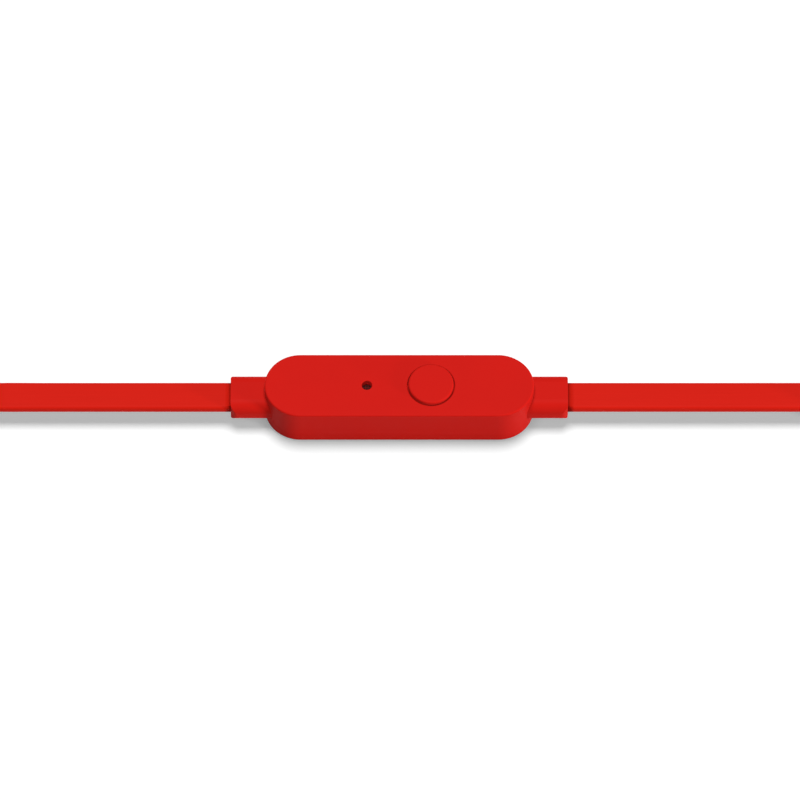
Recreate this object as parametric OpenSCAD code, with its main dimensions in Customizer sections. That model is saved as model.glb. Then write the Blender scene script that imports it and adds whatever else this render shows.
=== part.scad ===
// In-ear earphones on a flat cord, with an in-line remote.
// The origin is the middle of the remote's underside, which stands on the plane z = 0.
// +X runs along the cord from the remote to the earbuds, and +Z goes up through the button.
// The cord lies straight for 100 mm about the remote; the rest is folded into two tied hanks.

/* [Remote] */
// Length of the remote over its round ends
pod_l = 34; // [32:0.5:38]
// Width of the remote, and the diameter of its round ends
pod_w = 9; // [8.7:0.1:9.6]
// Height of the remote
pod_h = 6.1; // [5.9:0.1:6.4]
// Thickness of the wall that the button comes through
pod_roof = 0.9; // [0.7:0.05:1]
// Thickness of the wall round the side
pod_wall = 0.9; // [0.7:0.05:0.9]
// Radius of the softened upper and lower edges
pod_edge_r = 0.2; // [0.1:0.05:0.4]
// Thickness of the cover let into the underside
cover_t = 1; // [0.8:0.1:1]
// Height of the ribs under the circuit board
rib_h = 0.6; // [0.4:0.1:0.7]
// Thickness of each rib
rib_t = 0.9; // [0.6:0.1:1.5]
// Distance of each rib from the middle of the remote
rib_x = 7.9; // [6:0.1:9]

/* [Button] */
// Distance of the button from the middle of the remote
button_x = 4; // [3.6:0.1:6]
// Diameter of the button
button_d = 5.7; // [5:0.1:6]
// Gap all round the button
button_gap = 0.16; // [0.08:0.02:0.3]
// How far the button stands out of the wall
button_proud = 0.4; // [0.3:0.05:0.6]
// Radius of the button's softened edge
button_edge_r = 0.2; // [0.1:0.05:0.25]
// Radius of the softened edge round each hole in the wall
hole_edge_r = 0.1; // [0.05:0.05:0.15]
// How far the hidden flange reaches under the wall
flange_reach = 0.4; // [0.25:0.05:0.45]
// Thickness of the flange
flange_t = 0.5; // [0.4:0.05:0.6]
// Diameter of the stem that meets the switch
stem_d = 1.8; // [1.4:0.1:2.4]

/* [Electronics] */
// Length of the circuit board
board_l = 22; // [21:0.5:24]
// Width of the circuit board
board_w = 6.6; // [6:0.1:6.8]
// Thickness of the circuit board
board_t = 0.6; // [0.4:0.1:0.8]
// Corner radius of the circuit board
board_corner = 0.8; // [0.4:0.1:1.5]
// Side of the square tact switch
switch_w = 4.5; // [3.5:0.1:4.8]
// Height of the switch's case
switch_h = 1.4; // [1.2:0.1:1.5]
// Diameter of the switch's plunger
plunger_d = 2; // [1.6:0.1:2.4]
// How far the plunger stands out of the case
plunger_proud = 0.5; // [0.4:0.05:0.6]
// Distance of the microphone from the middle of the remote
mic_x = 4.1; // [4:0.1:6]
// Diameter of the hole over the microphone
mic_hole_d = 1.3; // [0.8:0.1:1.6]
// Diameter of the microphone capsule
mic_d = 4; // [3:0.1:4.4]
// Height of the microphone capsule
mic_h = 1.5; // [1:0.1:1.8]
// Wall of the rubber gasket on the capsule
gasket_wall = 0.9; // [0.5:0.1:1.1]
// Thickness of the dust mesh behind the hole
mesh_t = 0.15; // [0.1:0.05:0.3]
// Diameter of an insulated wire
wire_d = 0.5; // [0.3:0.05:0.6]
// Distance from one wire to the next
wire_pitch = 1; // [0.8:0.05:1.1]
// Length of each wire that lies on the board
solder_l = 1; // [0.6:0.1:1.5]

/* [Cord] */
// Width of the flat cord
cord_w = 3.9; // [3.5:0.1:4]
// Thickness of the flat cord
cord_t = 1.2; // [1:0.1:1.3]
// Chamfer along the cord's edges
cord_chamfer = 0.35; // [0.1:0.05:0.4]

/* [Strain reliefs] */
// How far a relief shows outside the remote
relief_out = 4.3; // [3:0.1:8]
// How far a relief is wider than the cord, on each side
relief_side = 0.7; // [0.5:0.05:0.75]
// How far a relief is thicker than the cord, on each side
relief_cover = 1.1; // [0.8:0.05:1.1]
// Corner radius of a relief's section
relief_r = 1.4; // [0.5:0.1:1.5]
// Corner radius of a relief's outer end, seen from above
relief_end_r = 0.8; // [0.2:0.1:1]
// How far the hidden flange is wider than the relief, on each side
grip_side = 0.3; // [0.2:0.05:0.3]
// How far the hidden flange is taller than the relief, on each side
grip_cover = 0.2; // [0.1:0.05:0.25]
// Thickness of the hidden flange
grip_t = 1; // [0.6:0.1:1.2]

/* [Splitter] */
// Length of the splitter
splitter_l = 14; // [11:0.5:14]
// Width of the splitter
splitter_w = 7.4; // [7:0.1:8.8]
// Corner radius of the splitter, seen from above
splitter_r = 1.6; // [1:0.1:1.7]
// Thickness of the splitter's walls
splitter_wall = 1; // [0.8:0.1:1.4]

/* [Plug] */
// Length of the plug's moulded body
plug_l = 15; // [12:0.5:18]
// Width of the plug's body
plug_w = 7.6; // [7.2:0.1:8.4]
// Height of the plug's body
plug_h = 5.9; // [5.6:0.1:6.6]
// Corner radius of the body's section
plug_r = 2.2; // [1.2:0.1:2.6]
// How far the plug's relief shows behind the body
plug_relief = 6; // [4:0.5:6]
// Diameter of the jack
jack_d = 3.5; // [3.5:0.1:3.5]
// Length of the sleeve contact in front of the body
jack_sleeve_l = 4.5; // [4:0.1:5]
// Length of each ring contact
jack_ring_l = 2.1; // [1.6:0.1:2.4]
// Width of each insulating band
jack_band = 0.6; // [0.4:0.1:0.8]
// Length of the tip contact
jack_tip_l = 3.5; // [3:0.1:4]
// Thickness of a ring contact
jack_wall = 0.6; // [0.4:0.05:0.7]
// Diameter of the tip's stem
jack_stem_d = 1.1; // [0.9:0.1:1.2]
// How far the jack's root goes into the body
jack_root = 5; // [3:0.5:8]
// How much the root is thinner than the sleeve, on each side
jack_root_step = 0.25; // [0.2:0.05:0.3]

/* [Earbud] */
// Diameter of the barrel
bud_d = 10.4; // [10:0.1:11]
// Thickness of the barrel's wall
bud_wall = 0.9; // [0.7:0.05:1.1]
// Thickness of the flat back cap
back_t = 1.3; // [1.2:0.05:1.35]
// Radius of the back cap's softened rim
back_edge_r = 0.6; // [0.3:0.05:0.6]
// Height of the barrel above the back cap
barrel_h = 7.9; // [7.6:0.1:9]
// Height of the seat for the driver above the surface
driver_seat_z = 6; // [5.9:0.1:6.2]
// Height of the driver's frame
driver_h = 2.3; // [2:0.1:2.4]
// Diameter of the driver's magnet
magnet_d = 6; // [5.4:0.1:6.4]
// Thickness of the diaphragm
film_t = 0.15; // [0.1:0.05:0.2]
// Height of the tapered front
front_h = 3.6; // [3:0.1:5]
// Diameter of the nozzle
nozzle_d = 5; // [4.6:0.1:5.2]
// Length of the nozzle
nozzle_l = 4.5; // [4:0.1:5]
// Diameter of the sound bore
sound_d = 3.8; // [3:0.1:4]
// How far the lip stands out round the nozzle
lip_proud = 0.2; // [0.1:0.05:0.3]
// Diameter of the silicone tip
tip_d = 12; // [11:0.5:14]
// Height of the silicone tip
tip_h = 7.3; // [7:0.1:9]
// Height of the tip's dome
tip_dome_h = 5; // [4.6:0.1:5.4]
// Thickness of the tip's dome
tip_wall = 0.5; // [0.4:0.05:0.7]
// Clearance of the tip's bore over the nozzle's lip
tip_gap = 0.05; // [0.03:0.01:0.1]
// Distance of the relief's outer end from the barrel's axis
bud_relief_l = 13; // [11:0.5:13]
// Angle of the relief from the cord's line, seen from above
bud_relief_angle = 22; // [20:1:24]
// Height of the relief's middle above the surface
bud_relief_z = 3.5; // [3.4:0.05:3.6]
// How far the earbud's relief is wider than the cord's thickness, on each side
bud_relief_side = 0.7; // [0.6:0.05:0.8]
// How far the earbud's relief is taller than the cord's width, on each side
bud_relief_cover = 0.65; // [0.5:0.05:0.7]

/* [Hanks] */
// Length of the straight runs in the main cord's hank
main_run_l = 50; // [49:0.5:60]
// Length of the straight runs in the left branch's hank
branch_run_l = 41; // [41:0.5:50]

/* [Ties] */
// Thickness of the elastic ties round the hanks
tie_t = 0.4; // [0.3:0.05:0.4]
// Width of each tie
tie_w = 3; // [2:0.5:5]

/* [Fits] */
// Clearance between parts that are fitted together
fit = 0.05; // [0.03:0.01:0.08]
// Running clearance round a part that slides
slide_gap = 0.06; // [0.04:0.01:0.09]
// Gap between the button's stem and the plunger
stem_gap = 0.05; // [0.03:0.01:0.08]

/* [Hidden] */
$fn = 64;
eps = 0.01;
// How far a cutting shape runs past what it cuts
over = 1;

red = "#d3201b";
cord_red = "#d8241a";
dark = "#2b2b2e";
steel = "#c9ccd0";
board_green = "#2f6b3c";

// Remote, from the surface up
cord_z = pod_h / 2;
roof_z = pod_h - pod_roof;
board_z = cover_t + rib_h;
board_top = board_z + board_t;
plunger_top = board_top + switch_h + plunger_proud;
plunger_well_z = board_top + switch_h * 0.25;
plunger_foot_z = plunger_well_z + 0.4;
rib_l = board_w - 1;
mesh_rim = 0.2;
pod_end_x = pod_l / 2;
cavity_r = pod_w / 2 - pod_wall;
cavity_end_x = pod_end_x - pod_w / 2;

// Reliefs: section round the flat cord, and the flange that holds each one behind the wall
relief_w = cord_w + 2 * relief_side;
relief_h = cord_t + 2 * relief_cover;
grip_w = relief_w + 2 * grip_side;
grip_h = relief_h + 2 * grip_cover;
grip_x = cavity_end_x + sqrt(pow(cavity_r, 2) - pow(grip_w / 2, 2)) - 2 * fit;
relief_x = pod_end_x + relief_out;

// Branches: the main cord divided along its middle
branch_w = cord_w / 2 + fit;
branch_pitch = branch_w + fit;
bud_relief_w = cord_t + 2 * bud_relief_side;
bud_relief_h = branch_w + 2 * bud_relief_cover;
bud_relief_r = relief_r * 0.8;

// Hanks: ribbons stand on edge, in two layers, on the tie that passes under them
turn_pitch = 1.35;
bend_r = 10.2;
lay_z = tie_t + fit;
layer_gap = 0.1;
main_low_z = lay_z + cord_w / 2;
main_high_z = main_low_z + cord_w + layer_gap;
main_hank_top = main_high_z + cord_w / 2;
branch_low_z = lay_z + branch_w / 2;
branch_high_z = branch_low_z + branch_pitch;
main_near_x = -62.6;
main_far_x = main_near_x - main_run_l;
branch_near_x = 80;
left_far_x = branch_near_x + branch_run_l;
right_reach = 3;
right_far_x = left_far_x + right_reach;
// How far each branch runs straight out of its last bend, before it climbs to its earbud
left_run_out = 4;
right_run_out = 1.6;

// Middle of the front run and of the back run of turn k, counted from the outside
function front_y(k) = k * turn_pitch;
function back_y(k) = 2 * bend_r - (k + 0.5) * turn_pitch;

// Splitter and plug
splitter_x = 54.2;
splitter_end_x = splitter_x + splitter_l;
plug_y = 1.3;
plug_z = main_hank_top + plug_h / 2;
plug_rear_x = -90;
plug_front_x = plug_rear_x - plug_l;
plug_grip_x = plug_rear_x - grip_t - 1;
jack_r = jack_d / 2;
jack_core_r = jack_r - jack_wall;
jack_root_r = jack_r - jack_root_step;
jack_stem_r = jack_stem_d / 2;
jack_rear_ring_x = jack_sleeve_l + jack_band;
jack_front_ring_x = jack_rear_ring_x + jack_ring_l + jack_band;
jack_tip_x = jack_front_ring_x + jack_ring_l + jack_band;
jack_flange_r = jack_r + 0.7;
jack_flange_t = 0.8;
jack_flange_x = 1 - jack_root;

// Earbuds, from the surface up
left_bud = [82, back_y(0) / 2];
right_bud = [100, back_y(0) / 2];
bud_r = bud_d / 2;
bore_r = bud_r - bud_wall;
barrel_top = back_t + barrel_h;
seam = 0.1;
seat_h = 0.6;
seat_reach = 0.6;
front_z = barrel_top + seam;
shoulder_z = front_z + front_h;
nozzle_r = nozzle_d / 2;
nozzle_top = shoulder_z + nozzle_l;
tip_bore_r = nozzle_r + lip_proud + tip_gap;
shoulder_r = tip_bore_r + 0.85;
skirt_t = 0.7;
skirt_h = 0.3;
bud_grip = 0.5;
bud_grip_h = bud_relief_h + 0.4;
bud_grip_t = 0.8;
bud_grip_x = sqrt(pow(bore_r, 2) - pow(bud_relief_w / 2 + bud_grip, 2)) - fit;

// Driver: frame, magnet with a round groove, and the coil that hangs in the groove
driver_floor = 0.5;
driver_wall = 0.6;
vent_d = 1.2;
magnet_h = 1;
groove_floor = 0.3;
coil_r = magnet_d * 0.31;
coil_half_t = 0.09;
groove_half_w = 0.3;
dome_share = 0.25;

// Front: spigot in the barrel, wall, and the lip that holds the tip
spigot_h = 0.6;
spigot_wall = 0.8;
throat_h = 1.2;
lip_l = 0.5;
lip_ramp = 0.3;
lip_top_z = nozzle_top - 0.6;
nozzle_mesh_t = 0.25;
nozzle_mesh_z = nozzle_top - 0.6;

// Tip: its mouth, its skirt, and the core that grips the nozzle
mouth_wall = 0.3;
mouth_round = 0.2;
tip_skirt_h = 1.1;
tip_skirt_in = 0.15;
tip_over = 0.8;
tip_cone = 0.4;

// Ties: where each one crosses its hank
main_tie_x = -97.5;
branch_tie_x = 91;

// Cord routes: x, y, z and the roll of the ribbon, where 0 lies flat and 90 stands on edge
upper_route = [
    [relief_x, 0, cord_z, 0],
    [30, 0, cord_z, 0],
    [42, 0, cord_z, 0],
    [splitter_x, 0, cord_z, 0]
];
main_lead_route = [
    [-relief_x, 0, cord_z, 0],
    [-30, 0, cord_z, 0],
    [-40, 0, cord_z, 0],
    [-50.6, 0, cord_z, 0],
    [-53, 0, 2.92, 15],
    [-55.5, 0, 2.72, 42],
    [-58, 0, 2.5, 70],
    [-60.5, 0, main_low_z, 88],
    [main_near_x, 0, main_low_z, 90]
];
plug_lead_route = [
    [main_near_x, 0, main_high_z, 90],
    [-64, 0, main_high_z, 90],
    [-66.5, 0, 6.8, 90],
    [-69, 0, 7.45, 90],
    [-72, 0, 8.6, 90],
    [-75, 0.2, 9.75, 102],
    [-78, 0.7, 10.7, 130],
    [-80.5, 1.15, 11.15, 158],
    [-82.5, plug_y, plug_z, 180],
    [plug_rear_x + plug_relief, plug_y, plug_z, 180]
];
left_branch_route = [
    [splitter_end_x, -branch_pitch / 2, cord_z, 0],
    [69.5, -branch_pitch / 2, cord_z, 0],
    [72, -0.97, 2.56, 20],
    [74.5, -0.73, 2.01, 45],
    [77, -0.35, 1.58, 70],
    [79, 0, branch_low_z, 90],
    [branch_near_x, 0, branch_low_z, 90]
];
right_branch_route = [
    [splitter_end_x, branch_pitch / 2, cord_z, 0],
    [69.5, branch_pitch / 2, cord_z, 0],
    [72, 0.97, 3.26, 20],
    [74.5, 0.73, 3.46, 45],
    [77, 0.35, 3.51, 70],
    [79, 0, branch_high_z, 90],
    [branch_near_x, 0, branch_high_z, 90]
];
left_bud_route = [
    [left_far_x, back_y(2), branch_low_z, 90],
    [left_far_x - left_run_out, back_y(2), branch_low_z, 90],
    [112, back_y(2), 1.6, 90],
    [108, back_y(2), 2, 90],
    [104.4, 17, 2.5, 90],
    [102.1, 16.9, 2.8, 90],
    [99.8, 16.6, 3.1, 90],
    [97.6, 16.05, 3.3, 90],
    each relief_end(left_bud)
];
right_bud_route = [
    [right_far_x, back_y(2), branch_high_z, 90],
    [right_far_x - right_run_out, back_y(2), branch_high_z, 90],
    [120.1, 16.9, 3.5, 90],
    [117.8, 16.6, 3.5, 90],
    [115.6, 16.05, 3.5, 90],
    each relief_end(right_bud)
];

// The last two points of a route that runs straight into an earbud's relief
function relief_end(bud) = [
    for (reach = [bud_relief_l + 1.5, bud_relief_l]) [
        bud[0] + reach * cos(bud_relief_angle),
        bud[1] + reach * sin(bud_relief_angle),
        bud_relief_z,
        90
    ]
];

// Points on a quarter or any other stretch of an ellipse
function arc(middle, rx, ry, from, to, steps = 12) = [
    for (i = [0:steps])
        let (a = from + (to - from) * i / steps)
        [middle[0] + rx * cos(a), middle[1] + ry * sin(a)]
];

// ---- Shared shapes ----

// The two sides of a corner's middle, or the one place where both corners of an end meet
function corner_sides(w, r) = w - 2 * r > eps ? [-1, 1] : [0];

// A rectangle with round corners, or a pill where the corners take up the whole width
module round_rect(l, w, r) {
    square([l - 2 * r, w], center = true);
    if (w - 2 * r > eps)
        square([l, w - 2 * r], center = true);
    for (x = [-1, 1], y = corner_sides(w, r))
        translate([x * (l / 2 - r), y * (w / 2 - r)])
            circle(r);
}

// Half section of a block with softened upper and lower edges, from its middle out to half
module edge_section(half, h, r) {
    square([half - r, h]);
    translate([0, r])
        square([half, h - 2 * r]);
    for (z = [r, h - r])
        translate([half - r, z])
            circle(r, $fn = 24);
}

// A block that stands on z = 0, with upright corners of radius corner and softened edges
module soft_block(l, w, h, corner, edge) {
    module bar(along, half)
        rotate([90, 0, 90])
            linear_extrude(along, center = true)
                for (side = [0, 1])
                    mirror([side, 0])
                        edge_section(half, h, edge);
    for (x = [-1, 1], y = corner_sides(w, corner))
        translate([x * (l / 2 - corner), y * (w / 2 - corner), 0])
            rotate_extrude()
                edge_section(corner, h, edge);
    bar(l - 2 * corner, w / 2);
    if (w - 2 * corner > eps)
        rotate([0, 0, 90])
            bar(w - 2 * corner, l / 2);
}

// An upright plate with round corners
module plate(l, w, h, corner)
    linear_extrude(h)
        round_rect(l, w, corner);

// A bar along +X from x = 0, with a rounded section
module round_bar(l, w, h, r)
    rotate([90, 0, 90])
        linear_extrude(l)
            round_rect(w, h, r);

// A ring of the given radii that stands on z = 0
module ring(outer_r, inner_r, h)
    difference() {
        cylinder(r = outer_r, h = h);
        translate([0, 0, -eps])
            cylinder(r = inner_r, h = h + 2 * eps);
    }

// A hollow housing, open below, with a roof and a recess for its cover
module housing(l, w, h, corner, edge, wall, roof)
    difference() {
        soft_block(l, w, h, corner, edge);
        translate([0, 0, -eps])
            plate(l - 2 * wall, w - 2 * wall, h - roof + eps, corner - wall);
    }

// A round hole down from z = top, with a softened upper edge
module soft_hole(d, top, r) {
    cylinder(d = d, h = top + over);
    translate([0, 0, top - r])
        rotate_extrude()
            difference() {
                square([d / 2 + r, r + over]);
                translate([d / 2 + r, 0])
                    circle(r, $fn = 24);
            }
}

// Moves what follows to the middle of the cord in the remote
module at_cord()
    translate([0, 0, cord_z])
        children();

// Places a part on one earbud, whose axis stands at the given point
module at_bud(bud)
    translate([bud[0], bud[1], 0])
        children();

// ---- Ribbon swept along a route ----

function unit(v) = v / norm(v);
function place(p) = [p[0], p[1], p[2]];

// Direction of the route at point i
function heading(route, i) =
    let (
        last = len(route) - 1,
        before = i == 0 ? [0, 0, 0] : unit(place(route[i]) - place(route[i - 1])),
        after = i == last ? [0, 0, 0] : unit(place(route[i + 1]) - place(route[i]))
    )
    unit(before + after);

// The eight corners of the ribbon's section, across and up
function ribbon_section(w, t, c) = [
    [w / 2, t / 2 - c], [w / 2 - c, t / 2], [c - w / 2, t / 2], [-w / 2, t / 2 - c],
    [-w / 2, c - t / 2], [c - w / 2, -t / 2], [w / 2 - c, -t / 2], [w / 2, c - t / 2]
];

// The same corners round point i of the route
function ribbon_ring(route, i, section) =
    let (
        ahead = heading(route, i),
        side = unit(cross([0, 0, 1], ahead)),
        up = cross(ahead, side),
        roll = route[i][3],
        across = side * cos(roll) + up * sin(roll),
        through = up * cos(roll) - side * sin(roll)
    )
    [for (c = section) place(route[i]) + c[0] * across + c[1] * through];

module ribbon(route, w, t, c) {
    section = ribbon_section(w, t, c);
    n = len(section);
    last = len(route) - 1;
    points = [for (i = [0:last]) each ribbon_ring(route, i, section)];
    sides = [
        for (i = [0:last - 1], k = [0:n - 1])
            let (a = i * n + k, b = i * n + (k + 1) % n)
            each [[a, a + n, b + n], [a, b + n, b]]
    ];
    start = [for (k = [1:n - 2]) [0, k, k + 1]];
    end = [for (k = [1:n - 2]) [last * n, last * n + k + 1, last * n + k]];
    polyhedron(points, concat(sides, start, end));
}

module main_ribbon(route)
    ribbon(route, cord_w, cord_t, cord_chamfer);

module branch_ribbon(route)
    ribbon(route, branch_w, cord_t, cord_chamfer);

// ---- Hanks ----

// The half of a hank's outline past x, round the runs whose edges lie at y = low and y = high
module hank_end(x, low, high, outward)
    intersection() {
        translate([x, (low + high) / 2])
            circle((high - low) / 2);
        translate([outward > 0 ? x : x - bend_r * 2, low - over])
            square([bend_r * 2, high - low + 2 * over]);
    }

// A stretch of outline between two x, from y = low to y = high
module hank_run(x1, x2, low, high)
    translate([min(x1, x2), low])
        square([abs(x2 - x1), high - low]);

// One layer of a hank. Each pair holds the run at the front and the run at the back:
// the outermost and innermost turn round the near end, the same round the far end, and
// the outermost and innermost run between the ends.
module hank_layer(near_x, far_x, near_out, near_in, far_out, far_in, run_out, run_in) {
    half = cord_t / 2;
    outward = far_x > near_x ? 1 : -1;
    difference() {
        union() {
            hank_end(near_x, front_y(near_out[0]) - half, back_y(near_out[1]) + half, -outward);
            hank_end(far_x, front_y(far_out[0]) - half, back_y(far_out[1]) + half, outward);
            hank_run(near_x, far_x, front_y(run_out[0]) - half, back_y(run_out[1]) + half);
        }
        hank_end(near_x, front_y(near_in[0]) + half, back_y(near_in[1]) - half, -outward);
        hank_end(far_x, front_y(far_in[0]) + half, back_y(far_in[1]) - half, outward);
        hank_run(near_x, far_x, front_y(run_in[0]) + half, back_y(run_in[1]) - half);
    }
}

// The elastic band round a bundle: the outline of its children, thickened
module tie(x)
    translate([x - tie_w / 2, 0, 0])
        rotate([90, 0, 90])
            linear_extrude(tie_w)
                difference() {
                    offset(r = tie_t + fit, $fn = 24)
                        hull()
                            children();
                    offset(r = fit, $fn = 24)
                        hull()
                            children();
                }

// The section of a bundle of runs between two edges in y, from the lay up to top
module bundle(low, high, top)
    translate([low - cord_t / 2, lay_z])
        square([high - low + cord_t, top - lay_z]);

// The lower layer of the main hank: three runs at the front and two at the back
module main_hank_lower() color(cord_red)
    translate([0, 0, main_low_z - cord_w / 2])
        linear_extrude(cord_w)
            hank_layer(main_near_x, main_far_x, [1, 0], [2, 1], [0, 0], [1, 1], [0, 0], [2, 1]);

// The upper layer: the outermost run at the front leaves as the plug's lead
module main_hank_upper() color(cord_red)
    translate([0, 0, main_high_z - cord_w / 2])
        linear_extrude(cord_w)
            hank_layer(main_near_x, main_far_x, [0, 0], [1, 1], [1, 0], [2, 1], [1, 0], [2, 1]);

// One branch's hank: three runs at the front, and two at the back beside the run to the earbud
module branch_hank(far_x, z) color(cord_red)
    translate([0, 0, z])
        linear_extrude(branch_w)
            hank_layer(branch_near_x, far_x, [1, 0], [2, 1], [0, 0], [2, 2], [0, 0], [2, 1]);

module main_hank_ties() color(dark) {
    tie(main_tie_x) {
        bundle(front_y(0), front_y(2), main_hank_top);
        translate([plug_y, plug_z])
            round_rect(plug_w, plug_h, plug_r);
    }
    tie(main_tie_x)
        bundle(back_y(1), back_y(0), main_hank_top);
}

module branch_hank_ties() color(dark) {
    top = lay_z + branch_pitch + branch_w;
    tie(branch_tie_x)
        bundle(front_y(0), front_y(2), top);
    tie(branch_tie_x)
        bundle(back_y(1), back_y(0), top);
}

// ---- Reliefs ----

// A relief along +X from a hidden flange at x = 0 to its rounded outer end
module relief(l, w, h, grip_w, grip_h, grip_t) {
    intersection() {
        round_bar(l, w, h, relief_r);
        translate([0, 0, -h])
            linear_extrude(2 * h)
                translate([l / 2 - relief_end_r, 0])
                    round_rect(l + 2 * relief_end_r, w, relief_end_r);
    }
    round_bar(grip_t, grip_w, grip_h, relief_r);
}

// ---- Remote ----

module remote_relief()
    at_cord()
        translate([grip_x - grip_t, 0, 0])
            relief(relief_x - grip_x + grip_t, relief_w, relief_h, grip_w, grip_h, grip_t);

module remote_top_shell() color(red)
    difference() {
        housing(pod_l, pod_w, pod_h, pod_w / 2, pod_edge_r, pod_wall, pod_roof);
        translate([button_x, 0, 0])
            soft_hole(button_d + 2 * button_gap, pod_h, hole_edge_r);
        translate([-mic_x, 0, 0])
            soft_hole(mic_hole_d, pod_h, hole_edge_r, $fn = 32);
        for (side = [0, 1])
            mirror([side, 0, 0])
                at_cord()
                    translate([cavity_end_x, 0, 0])
                        round_bar(pod_w, relief_w + 2 * fit, relief_h + 2 * fit, relief_r + fit);
    }

module remote_bottom_cover() color(red) {
    inset = pod_wall + fit;
    plate(pod_l - 2 * inset, pod_w - 2 * inset, cover_t, pod_w / 2 - inset);
    for (x = [-1, 1])
        translate([x * rib_x, 0, cover_t + rib_h / 2])
            cube([rib_t, rib_l, rib_h], center = true);
}

module remote_button() color(red)
    translate([button_x, 0, 0]) {
        flange_z = roof_z - fit - flange_t;
        translate([0, 0, plunger_top + stem_gap])
            cylinder(d = stem_d, h = flange_z - plunger_top - stem_gap + eps);
        translate([0, 0, flange_z])
            cylinder(r = button_d / 2 + flange_reach, h = flange_t);
        translate([0, 0, flange_z])
            rotate_extrude()
                edge_section(button_d / 2, pod_h + button_proud - flange_z, button_edge_r);
    }

module remote_circuit_board() color(board_green)
    translate([0, 0, board_z])
        plate(board_l, board_w, board_t, board_corner);

module switch_body() color(steel)
    translate([button_x, 0, 0])
        difference() {
            translate([0, 0, board_top + switch_h / 2])
                cube([switch_w, switch_w, switch_h], center = true);
            translate([0, 0, plunger_well_z])
                cylinder(d = plunger_d + 2 * slide_gap, h = switch_h);
        }

module switch_plunger() color(dark)
    translate([button_x, 0, plunger_foot_z])
        cylinder(d = plunger_d, h = plunger_top - plunger_foot_z);

module microphone_capsule() color(steel)
    translate([-mic_x, 0, board_top])
        cylinder(d = mic_d, h = mic_h);

module microphone_gasket() color(dark)
    translate([-mic_x, 0, board_top + mic_h])
        ring(mic_d / 2, mic_d / 2 - gasket_wall, roof_z - mesh_t - board_top - mic_h);

module microphone_mesh() color("#5a1a16")
    translate([-mic_x, 0, roof_z - mesh_t])
        cylinder(r = mic_d / 2 - mesh_rim, h = mesh_t);

module remote_wires() color(steel)
    for (side = [-1, 1], row = [-1.5:1.5])
        translate([side * (board_l / 2 - solder_l), row * wire_pitch, board_top + wire_d / 2])
            rotate([0, side * 90, 0])
                cylinder(d = wire_d, h = grip_x - grip_t - board_l / 2 + solder_l, $fn = 24);

// ---- Splitter ----

module splitter_shell() color(red)
    translate([splitter_x + splitter_l / 2, 0, 0])
        housing(splitter_l, splitter_w, pod_h, splitter_r, pod_edge_r, splitter_wall, pod_roof);

module splitter_cover() color(red) {
    inset = splitter_wall + fit;
    translate([splitter_x + splitter_l / 2, 0, 0])
        plate(splitter_l - 2 * inset, splitter_w - 2 * inset, cover_t, splitter_r - inset);
}

// ---- Plug ----

// Places a part on the plug, whose axis runs along -X from the body's front face
module at_plug()
    translate([plug_front_x, plug_y, plug_z])
        rotate([0, -90, 0])
            children();

module plug_relief_collar() color(red)
    translate([plug_grip_x, plug_y, plug_z])
        relief(plug_rear_x + plug_relief - plug_grip_x, relief_w, relief_h, grip_w, grip_h, grip_t);

module plug_body() color(red)
    difference() {
        intersection() {
            translate([plug_front_x, plug_y, plug_z])
                round_bar(plug_l, plug_w, plug_h, plug_r);
            translate([plug_front_x + plug_l / 2, plug_y, 0])
                linear_extrude(plug_z * 2)
                    round_rect(plug_l, plug_w, plug_r / 2);
        }
        translate([plug_grip_x - fit, plug_y, plug_z])
            round_bar(grip_t + 2 * fit, grip_w + 2 * fit, grip_h + 2 * fit, relief_r + fit);
        translate([plug_grip_x, plug_y, plug_z])
            round_bar(plug_relief, relief_w + 2 * fit, relief_h + 2 * fit, relief_r + fit);
        at_plug()
            translate([0, 0, -jack_root - fit])
                cylinder(r = jack_root_r + fit, h = jack_root + over);
        at_plug()
            translate([0, 0, jack_flange_x - fit])
                cylinder(r = jack_flange_r + fit, h = jack_flange_t + 2 * fit);
    }

module jack_sleeve() color(steel)
    at_plug() {
        translate([0, 0, -jack_root])
            ring(jack_root_r, jack_core_r, jack_root + eps);
        translate([0, 0, jack_flange_x])
            ring(jack_flange_r, jack_core_r, jack_flange_t);
        ring(jack_r, jack_core_r, jack_sleeve_l);
    }

module jack_ring(x) color(steel)
    at_plug()
        translate([0, 0, x])
            ring(jack_r, jack_core_r, jack_ring_l);

module jack_insulators() color(dark)
    at_plug() {
        translate([0, 0, -jack_root])
            ring(jack_core_r - fit / 2, jack_stem_r + fit / 2, jack_root + jack_tip_x - jack_band / 2);
        for (x = [jack_sleeve_l, jack_rear_ring_x + jack_ring_l, jack_front_ring_x + jack_ring_l])
            translate([0, 0, x])
                ring(jack_r, jack_stem_r + fit / 2, jack_band);
    }

module jack_tip() color(steel)
    at_plug() {
        translate([0, 0, -jack_root])
            cylinder(r = jack_stem_r, h = jack_root + jack_tip_x + eps);
        translate([0, 0, jack_tip_x])
            rotate_extrude()
                polygon([
                    [0, 0], [jack_r, 0], [jack_r, jack_tip_l * 0.12], [jack_r * 0.68, jack_tip_l * 0.34],
                    [jack_r * 0.9, jack_tip_l * 0.55], [jack_r * 0.9, jack_tip_l * 0.64],
                    [jack_r * 0.5, jack_tip_l * 0.96], [jack_r * 0.28, jack_tip_l], [0, jack_tip_l]
                ]);
    }

// ---- Earbuds ----

module bud_back_cap() color(red) {
    rim_r = min(back_edge_r, back_t / 2);
    rotate_extrude() {
        translate([0, rim_r])
            square([bud_r, back_t - rim_r]);
        square([bud_r - rim_r, back_t]);
        translate([bud_r - rim_r, rim_r])
            circle(rim_r, $fn = 48);
    }
    translate([0, 0, back_t - eps])
        ring(bore_r - fit, bore_r - skirt_t, skirt_h + eps);
}

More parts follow.
